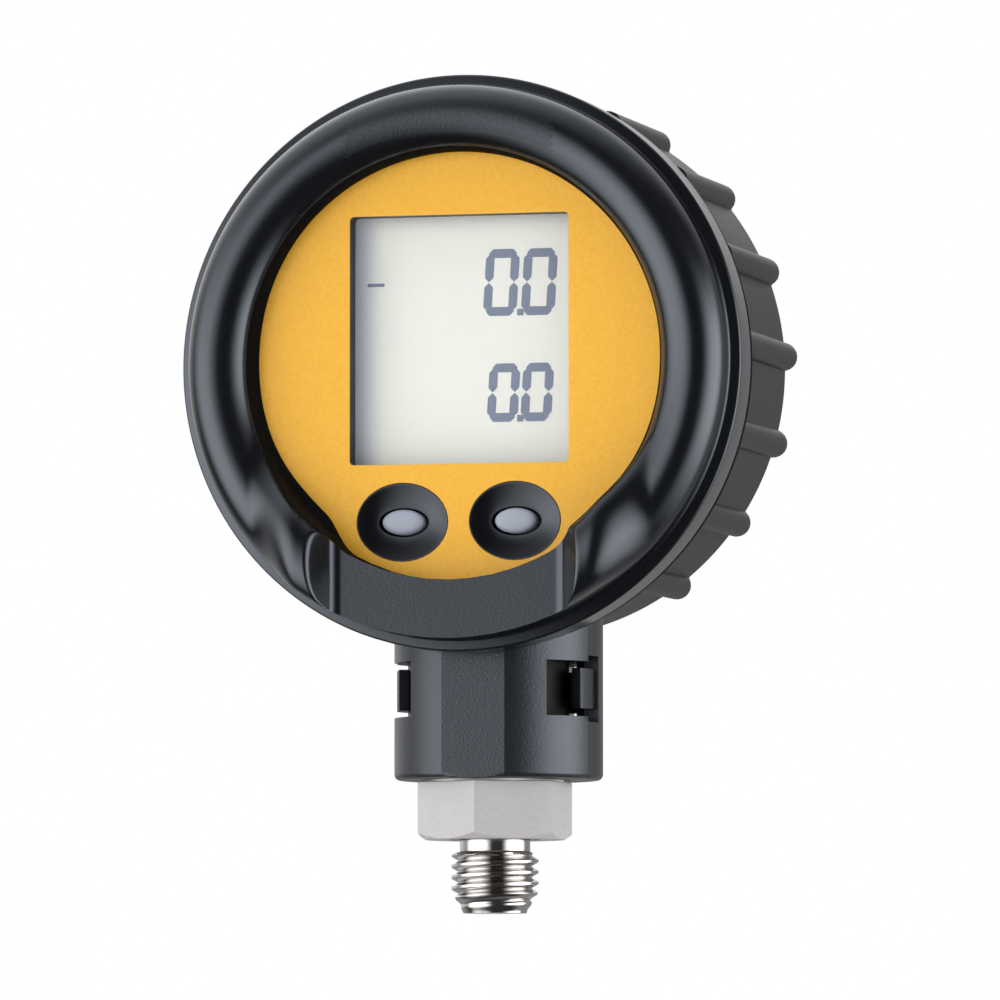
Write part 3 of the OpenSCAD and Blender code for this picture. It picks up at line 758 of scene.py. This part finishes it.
def forward_of_x(turn):
    """(side, degrees in front of that side's X direction) of an angle from +X."""
    side = 1 if math.cos(math.radians(turn)) > 0 else -1
    return side, math.degrees(math.asin(-math.sin(math.radians(turn))))


def make_neck():
    """Front and rear halves, the tabs in the side windows and the shelf over the sleeve."""
    split = math.degrees(math.asin((NECK_BACK - SPLIT_Y) / NECK_R))
    facet = math.degrees(math.acos((NECK_BACK - FACET_Y) / NECK_R))
    gap = 0.12

    def between(low, high, keys=()):
        """Angles no more than five degrees apart that include the key angles."""
        marks = sorted({low, high, *[k for k in keys if low < k < high]})
        turns = []
        for a, b in zip(marks, marks[1:]):
            steps = max(1, math.ceil((b - a) / 5))
            turns += [a + (b - a) * i / steps for i in range(steps)]
        return turns + [high]

    front_turns = between(180 + split + gap, 360 - split - gap,
                          (180 + WINDOW_FRONT, 360 - WINDOW_FRONT, 270 - facet, 270 + facet))

    def keep_front(turn, z):
        side, forward = forward_of_x(turn)
        return not (WINDOW_Z[0] < z < WINDOW_Z[1] and forward < WINDOW_FRONT)

    front = neck_shell(front_turns, keep_front)
    front.make("neck_front", "housing", "housing", "housing_slate", ["front_housing"], sharp=12,
               bevel=0.09)

    rear_turns = between(-split + gap, 180 + split - gap,
                         (-10, -2.5, 14, 44, 58, 122, 136, 166, 182.5, 190))

    def keep_rear(turn, z):
        side, forward = forward_of_x(turn)
        if NOTCH_Z[0] < z < NOTCH_Z[1] and forward > NOTCH_FRONT:
            return False
        slot = WINDOW_Z[0] < z < TAB_Z[0] or TAB_Z[1] < z < WINDOW_Z[1]
        if slot and side < 0 and forward > LEFT_SLOT_BACK:
            return False
        return not (slot and REAR_SLOT_SPAN[0] < forward < REAR_SLOT_SPAN[1])

    rear = neck_shell(rear_turns, keep_rear)
    rear.make("neck_rear", "housing", "housing", "housing_slate", ["rear_housing"], sharp=12, bevel=0.09)

    tabs = Builder()
    for side in (0, 1):
        turns = [1 + 4 * i for i in range(6)]
        turns = [180 + t for t in turns] if side else [360 - t for t in turns]
        rings = []
        for turn in turns:
            c = math.cos(math.radians(turn))
            s = math.sin(math.radians(turn))
            rings.append(tabs.ring([(r * c, NECK_BACK + r * s, z) for r, z in
                                    ((NECK_IN_R, TAB_Z[0]), (TAB_R, TAB_Z[0]),
                                     (TAB_R, TAB_Z[1]), (NECK_IN_R, TAB_Z[1]))]))
        tabs.bridge_all(rings)
        tabs.faces.append(tuple(rings[0]))
        tabs.faces.append(tuple(rings[-1]))
    tabs.make("snap_tabs", "housing", "housing", "housing_slate", ["rear_housing"], sharp=12, bevel=0.15)

    shelf = Builder()
    turns = [360 * i / 72 for i in range(72)]
    rings = []
    low, high = SHELF_Z
    for outer, z in ((False, low), (True, low), (True, high), (False, high)):
        row = []
        for turn in turns:
            r = NECK_IN_R - 0.02 if outer else hole_r(turn, SHELF_R)
            if outer:
                r = min(r, neck_outer_r(turn, NECK_R) - 0.3)
            row.append((r * math.cos(math.radians(turn)),
                        NECK_BACK + r * math.sin(math.radians(turn)), z))
        rings.append(shelf.ring(row))
    shelf.bridge_all(rings, closed=True)
    shelf.make("neck_shelf", "housing", "housing", "housing_slate", ["rear_housing"])


make_neck()


def make_front_plate():
    """Plate behind the label, with the lap wall that enters the drum."""
    builder = Builder()
    back = -PLATE_BACK_F
    front = -PLATE_FRONT_F
    outer = [builder.ring(circle(PLATE_R, y, HEAD_Z, 0, 128)) for y in (back, front)]
    builder.bridge_all(outer)
    holes = []
    for x in (-BUTTON_X, BUTTON_X):
        hole = [builder.ring(oval(6.9, 5.8, -y, x, BUTTON_Z)) for y in (back, front)]
        builder.bridge_all(hole)
        holes.append(hole)
    low, high = box_mm("lcd_frame")
    room_x = 16.3
    room_low = low.z + 1.2
    room_high = HEAD_Z + 20.9
    room = [(room_x, room_low), (room_x, room_high), (-room_x, room_high), (-room_x, room_low)]
    hole = [builder.ring([(x, y, z) for x, z in room]) for y in (back, front)]
    builder.bridge_all(hole)
    holes.append(hole)
    builder.fill(outer[0], [h[0] for h in holes])
    builder.fill(outer[1], [h[1] for h in holes])
    builder.make("front_plate", "housing", "housing", "housing_slate", ["front_housing"])
    lap = Builder()
    front = -PLATE_BACK_F + 0.02
    turned(lap, [(LAP_R[0], -LAP_END_F), (LAP_R[0], front), (LAP_R[1], front), (LAP_R[1], -LAP_END_F)],
           DRUM_Z, 0, 128)
    lap.make("lap_wall", "housing", "housing", "housing_slate", ["front_housing"])


make_front_plate()


# Process connection with a real right-hand helix
# Radii of crests and roots by height, and the tooth's share of its depth by distance from the crest
THREAD_CRESTS = [(-10, 4.35), (-9.7, 4.45), (-7.1, THREAD_CREST_R), (-2.0, THREAD_CREST_R),
                 (RELIEF_Z, RELIEF_R)]
THREAD_ROOTS = [(-10, 4.3), (-7.4, THREAD_ROOT_R), (-1.9, THREAD_ROOT_R), (RELIEF_Z, RELIEF_R)]
CREST_SHAPE = [(0, 1), (0.15, 1), (0.2, 0.95), (0.45, 0.5), (0.68, 0.03), (0.75, 0)]
CREST_Z_AT_X = -2.91


def thread_radius(z, from_crest):
    """Radius of the thread at a height and a distance along the axis from its crest."""
    root = interpolate(THREAD_ROOTS, z)
    crest = max(root, interpolate(THREAD_CRESTS, z))
    return root + (crest - root) * interpolate(CREST_SHAPE, abs(from_crest))


def make_connection():
    """Bore, journal, hexagon and thread as one closed surface."""
    count = 96
    builder = Builder()
    turns = [360 * i / count for i in range(count)]

    def level(r, z):
        return builder.ring([(r * math.cos(math.radians(t)), r * math.sin(math.radians(t)), z)
                             for t in turns])

    # Bore, pocket, journal with its grooves
    clip_low, clip_high = CLIP_GROOVE_Z
    seal_low, seal_high = SEAL_GROOVE_Z
    inside = [(PORT_R + 0.45, THREAD_END_Z), (PORT_R, THREAD_END_Z + 0.45), (PORT_R, POCKET_Z),
              (POCKET_R, POCKET_Z), (POCKET_R, JOURNAL_TOP_Z), (7.8, JOURNAL_TOP_Z),
              (JOURNAL_R, JOURNAL_TOP_Z - 0.2), (JOURNAL_R, clip_high), (CLIP_GROOVE_R, clip_high),
              (CLIP_GROOVE_R, clip_low), (JOURNAL_R, clip_low), (JOURNAL_R, seal_high),
              (SEAL_GROOVE_R, seal_high), (SEAL_GROOVE_R, seal_low), (JOURNAL_R, seal_low),
              (JOURNAL_R, HEX_H)]
    rings = [level(r, z) for r, z in inside]
    # Hexagon: flats with slightly eased corners, cut by the chamfer's cone
    corner = 0.8
    hex_rows = [[], [], [], []]
    cone_r = HEX_AF / 2 - 0.05
    cone_slope = 2.1 / 3.6
    for t in turns:
        from_flat = (t + 30) % 60 - 30
        local = max(-30 + corner, min(30 - corner, from_flat))
        r = HEX_AF / 2 / math.cos(math.radians(local))
        if abs(from_flat) > 30 - corner:
            r *= math.cos(math.radians(abs(from_flat) - 30 + corner))
        rise = max(0.05, (r - cone_r) * cone_slope)
        for row, (radius, z) in zip(hex_rows, ((r - 0.12, HEX_H), (r, HEX_H - 0.12), (r, rise),
                                               (cone_r, 0))):
            row.append((radius * math.cos(math.radians(t)), radius * math.sin(math.radians(t)), z))
    rings += [builder.ring(row) for row in hex_rows]
    rings += [level(FACE_GROOVE_R, 0), level(FACE_GROOVE_R, FACE_GROOVE_H),
              level(RELIEF_R, FACE_GROOVE_H), level(RELIEF_R, RELIEF_Z)]
    relief = rings[-4:]
    builder.bridge_all(rings[:-3])
    first_polished = len(builder.faces)
    builder.bridge_all(relief)
    # Thread: grid lines follow the helix and are clamped at both ends
    steps = [-0.75, -0.68, -0.45, -0.2, -0.15, 0, 0.15, 0.2, 0.45, 0.68]
    known = {}

    def point(row, column):
        wrap, column = divmod(column, count)
        row += wrap * len(steps)
        pitch_index, step_index = divmod(row, len(steps))
        offset = steps[step_index]
        turn = turns[column]
        z = CREST_Z_AT_X + PITCH * (pitch_index + turn / 360) + offset
        z = max(THREAD_END_Z, min(RELIEF_Z, z))
        key = (column, round(z, 5))
        if key not in known:
            r = thread_radius(z, offset)
            if z <= THREAD_END_Z:
                r = interpolate(THREAD_ROOTS, z)
            if z >= RELIEF_Z:
                r = RELIEF_R
            angle = math.radians(turn)
            known[key] = builder.ring([(r * math.cos(angle), r * math.sin(angle), z)])[0]
        return known[key]

    for row in range(-7 * len(steps), 3 * len(steps)):
        for column in range(count):
            corners = [point(row, column), point(row, column + 1),
                       point(row + 1, column + 1), point(row + 1, column)]
            unique = list(dict.fromkeys(corners))
            if len(unique) > 2:
                builder.faces.append(tuple(unique))
    # End face back to the bore
    tip = [known[(c, THREAD_END_Z)] for c in range(count)]
    builder.bridge(tip, rings[0])
    builder.paint(first_polished, 1)
    return builder.make("connection", "connection", "steel polished", "stainless", ["process_connection"],
                        sharp=28)


make_connection()


# Battery cover with a coin slot
def make_cover():
    """Flanged cover with its boss and the slot."""
    builder = Builder()
    slot_half = 11.0
    slot_r = 1.0
    floor_y = BACK_Y - 1.6
    boss_r = 14.5
    wall_y = BACK_Y - 2.3
    body = turned(builder, [(boss_r, COVER_INNER_Y), (boss_r, wall_y), (COVER_R - 0.1, wall_y),
                            (COVER_R, wall_y + 0.1), (COVER_R, BACK_Y - 0.5), (COVER_R - 0.15, BACK_Y - 0.15),
                            (COVER_R - 0.5, BACK_Y)], count=128, closed=False)

    def slot_ring(grow, y):
        """Outline of the slot, grown outwards, at a depth."""
        points = []
        for end, start in ((1, -90), (-1, 90)):
            for i in range(9):
                t = math.radians(start + 180 * i / 8)
                points.append((end * (slot_half - slot_r) + (slot_r + grow) * math.cos(t), y,
                               DRUM_Z + (slot_r + grow) * math.sin(t)))
        return builder.ring(points)

    slot = [slot_ring(0.2, BACK_Y), slot_ring(0.05, BACK_Y - 0.07), slot_ring(0, BACK_Y - 0.2),
            slot_ring(0, floor_y)]
    builder.bridge_all(slot)
    builder.fill(slot[-1])
    builder.fill(body[-1], [slot[0]])
    builder.fill(body[0])
    return builder.make("cover", "cover", "cover", "cover_slate", ["battery_cover"], sharp=38)


make_cover()


# Button dishes and their pale tips. BOWL_FLOOR is the bowl's foot as a share of its rim, across and upwards.
BOWL_DEPTH = 0.85
BOWL_STEPS = 14
BOWL_FLOOR = (0.57, 0.4)
HOLE_A = 3.55
HOLE_B = 1.96


def make_dishes():
    """Two dishes under the label, each with a bowl and a hole for its button."""
    builder = Builder()
    back_f = PLATE_BACK_F + 0.02
    lip_f = PLATE_FRONT_F - 0.04
    lip = 0.38
    for side in (-1, 1):
        x = side * BUTTON_X
        rows = [(DISH_A + lip, DISH_B + lip, back_f), (DISH_A + lip, DISH_B + lip, lip_f),
                (DISH_A - 0.03, DISH_B - 0.03, lip_f),
                (DISH_A - 0.03, DISH_B - 0.03, LABEL_F - 0.12),
                (DISH_A - 0.08, DISH_B - 0.08, LABEL_F - 0.02)]
        for i in range(BOWL_STEPS + 1):
            inward = i / BOWL_STEPS
            a = DISH_A * (1 - inward * (1 - BOWL_FLOOR[0]))
            b = DISH_B * (1 - inward * (1 - BOWL_FLOOR[1]))
            depth = BOWL_DEPTH * (1 - (1 - inward) ** 1.5)
            rows.append((a - 0.16, b - 0.16, LABEL_F - depth))
        rows += [(HOLE_A + 0.12, HOLE_B + 0.12, LABEL_F - BOWL_DEPTH - 0.08),
                 (HOLE_A, HOLE_B, LABEL_F - BOWL_DEPTH - 0.25),
                 (HOLE_A, HOLE_B, back_f)]
        rings = [builder.ring(oval(a, b, f, x, BUTTON_Z)) for a, b, f in rows]
        builder.bridge_all(rings, closed=True)
    builder.make("dishes", "housing", "dish", "dish_black", ["button_dishes"], sharp=45)


def make_tips():
    """A domed tip on each button: how far each row lies inside the outline, and below the top."""
    foot_f = 14.9
    rows = [(0, 0, PIP_TOP_F - foot_f), (0, 0, 0.75), (0.05, 0.05, 0.5), (0.17, 0.17, 0.3),
            (0.36, 0.35, 0.15), (0.65, 0.6, 0.06), (1.1, 0.95, 0.015), (1.8, 1.35, 0)]
    for side, body in ((-1, "button_left"), (1, "button_right")):
        pip = Builder()
        rings = [pip.ring(oval(PIP_A - in_a, PIP_B - in_b, PIP_TOP_F - down, side * BUTTON_X, BUTTON_Z))
                 for in_a, in_b, down in rows]
        pip.bridge_all(rings)
        pip.fill(rings[0])
        pip.fill(rings[-1])
        pip.make("pip_" + body[7:], body, "pip", "button_pale", [body], sharp=50)


make_dishes()
make_tips()


# CAD nodes that stay, with their materials
KEPT = {
    "label_disc": "label", "lcd_frame": "frame", "display_window": "window", "lcd_panel": "display",
    "lcd_segments": "segment", "lcd_reflector": "white", "lcd_connector": "rubber",
    "thrust_washer": "white", "swivel_o_ring": "rubber", "retaining_clip": "spring",
    "stop_pin": "spring", "sensor_seal": "rubber", "sensor_cell": "ceramic",
    "sensor_retaining_ring": "steel", "sensor_board": "board", "bearing_sleeve": "sleeve",
    "housing_seal": "rubber", "circuit_board": "board", "tactile_switches": "chip",
    "microcontroller": "chip", "board_components": "component", "board_screws": "spring",
    "sensor_lead": "lead", "battery": "cell", "battery_contact_positive": "brass",
    "battery_contact_negative": "brass", "battery_cover_seal": "rubber", "housing_screws": "spring",
    "vent_plug": "frame",
}
for node, look in KEPT.items():
    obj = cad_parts[node]
    if not obj.material_slots:
        obj.data.materials.append(MATERIALS[look])
    for place in obj.material_slots:
        place.material = MATERIALS[look]


# Camera at the photograph's angle
AZIMUTH = math.radians(15)
ELEVATION = math.radians(-3.7)
DISTANCE = 1.27
AIM = Vector((0.0007, 0, 0.0464))
camera_data = bpy.data.cameras.new("camera")
camera_data.lens = 334.8
camera_data.sensor_width = 36
camera_data.clip_end = 20
camera = bpy.data.objects.new("camera", camera_data)
towards = Vector((math.sin(AZIMUTH) * math.cos(ELEVATION), -math.cos(AZIMUTH) * math.cos(ELEVATION),
                  math.sin(ELEVATION)))
camera.location = AIM + towards * DISTANCE
camera.rotation_euler = (-towards).to_track_quat("-Z", "Y").to_euler()
bpy.context.scene.collection.objects.link(camera)
bpy.context.scene.camera = camera
bpy.context.scene.view_settings.view_transform = "Standard"


# Lights
def area_light(name, azimuth, elevation, distance, width, height, power):
    """A soft box that faces the head from a direction given as the camera's is."""
    data = bpy.data.lights.new(name, "AREA")
    data.shape = "RECTANGLE"
    data.size = width
    data.size_y = height
    data.energy = power
    light = bpy.data.objects.new(name, data)
    a = math.radians(azimuth)
    e = math.radians(elevation)
    direction = Vector((math.sin(a) * math.cos(e), -math.cos(a) * math.cos(e), math.sin(e)))
    light.location = Vector((0, 0, 0.055)) + direction * distance
    light.rotation_euler = (-direction).to_track_quat("-Z", "Y").to_euler()
    light.visible_glossy = False
    bpy.context.scene.collection.objects.link(light)
    return light


area_light("key_box", -25, 18, 1.1, 0.5, 0.5, 1.35)
area_light("top_box", 0, 75, 0.9, 0.7, 0.5, 1.5)
area_light("rear_box", -165, 20, 1.1, 0.5, 0.7, 2.0)

# Soft panels of light as strength, then where each begins, is full, stays full and ends, in degrees of
# azimuth and of elevation
PANELS = [(4.6, (-98, -56, -36, 7), (-64, -8, 0, 34)), (5.8, (36, 82, 98, 134), (-48, -6, 8, 30))]
TOP_PANEL = (1.5, -120, 60)
TOP_FULL = 25
TOP_END = 72
REAR_LEVEL = 0.34
LEAST_LEVEL = 0.05


def window(tree, source, marks):
    """One between the inner marks, falling smoothly to zero at the outer ones; marks are in degrees."""
    begin, full, stay, end = (math.radians(mark) for mark in marks)
    opening = add(tree, "ShaderNodeMapRange", From_Min=begin, From_Max=full)
    closing = add(tree, "ShaderNodeMapRange", From_Min=end, From_Max=stay)
    product = add(tree, "ShaderNodeMath", operation="MULTIPLY")
    for place, span in enumerate((opening, closing)):
        span.interpolation_type = "SMOOTHSTEP"
        tree.links.new(source, span.inputs["Value"])
        tree.links.new(span.outputs["Result"], product.inputs[place])
    return product.outputs[0]


def total(tree, sources, operation="ADD"):
    """The sources added up, or joined by another operation, one after the other."""
    result = sources[0]
    for source in sources[1:]:
        step = add(tree, "ShaderNodeMath", operation=operation)
        tree.links.new(result, step.inputs[0])
        tree.links.new(source, step.inputs[1])
        result = step.outputs[0]
    return result


def times(tree, source, factor):
    """The source multiplied by a number."""
    node = add(tree, "ShaderNodeMath", operation="MULTIPLY")
    node.inputs[1].default_value = factor
    tree.links.new(source, node.inputs[0])
    return node.outputs[0]


def make_world():
    """White to the camera, and soft panels in a dim room to every other ray."""
    world = bpy.data.worlds.new("studio")
    bpy.context.scene.world = world
    world.use_nodes = True
    tree = world.node_tree
    background = tree.nodes["Background"]
    path = tree.nodes.new("ShaderNodeLightPath")
    place = tree.nodes.new("ShaderNodeTexCoord")
    parts = tree.nodes.new("ShaderNodeSeparateXYZ")
    tree.links.new(place.outputs["Generated"], parts.inputs["Vector"])
    turn = add(tree, "ShaderNodeMath", operation="ARCTAN2")
    tree.links.new(parts.outputs["X"], turn.inputs[0])
    tree.links.new(times(tree, parts.outputs["Y"], -1), turn.inputs[1])
    rise = add(tree, "ShaderNodeMath", operation="ARCSINE")
    tree.links.new(parts.outputs["Z"], rise.inputs[0])
    lights = []
    for strength, across, upward in PANELS:
        area = [window(tree, turn.outputs[0], across), window(tree, rise.outputs[0], upward)]
        lights.append(times(tree, total(tree, area, "MULTIPLY"), strength))
    strength, azimuth, elevation = TOP_PANEL
    a = math.radians(azimuth)
    e = math.radians(elevation)
    towards_top = add(tree, "ShaderNodeVectorMath", operation="DOT_PRODUCT")
    towards_top.inputs[1].default_value = (math.sin(a) * math.cos(e), -math.cos(a) * math.cos(e), math.sin(e))
    tree.links.new(place.outputs["Generated"], towards_top.inputs[0])
    for source, low, high, strength in (
            (towards_top.outputs["Value"], math.cos(math.radians(TOP_END)), math.cos(math.radians(TOP_FULL)),
             strength),
            (parts.outputs["Y"], 0.1, 0.55, REAR_LEVEL)):
        span = add(tree, "ShaderNodeMapRange", From_Min=low, From_Max=high, To_Max=strength)
        tree.links.new(source, span.inputs["Value"])
        lights.append(span.outputs["Result"])
    least = add(tree, "ShaderNodeMath", operation="ADD")
    least.inputs[1].default_value = LEAST_LEVEL
    tree.links.new(total(tree, lights), least.inputs[0])
    seen = add(tree, "ShaderNodeMix")
    seen.inputs[3].default_value = 1.0
    tree.links.new(path.outputs["Is Camera Ray"], seen.inputs[0])
    tree.links.new(least.outputs[0], seen.inputs[2])
    tree.links.new(seen.outputs[0], background.inputs["Strength"])
    background.inputs["Color"].default_value = (1, 1, 1, 1)


make_world()


def make_floor():
    """Pale floor under the camera's height, which keeps the object's shadow."""
    mesh = bpy.data.meshes.new("floor")
    half = 6.0
    level = -0.045
    mesh.from_pydata([(-half, -half, level), (half, -half, level), (half, half, level),
                      (-half, half, level)], [], [(0, 1, 2, 3)])
    material, tree, shader = nodes_of("floor_pale")
    soft = noise(tree, 3, 2)
    tint(tree, soft.outputs["Fac"], shader, (0.79, 0.79, 0.79), (0.81, 0.81, 0.81))
    shader.inputs["Roughness"].default_value = 0.8
    mesh.materials.append(material)
    floor = bpy.data.objects.new("floor", mesh)
    floor.visible_glossy = False
    bpy.context.scene.collection.objects.link(floor)


make_floor()
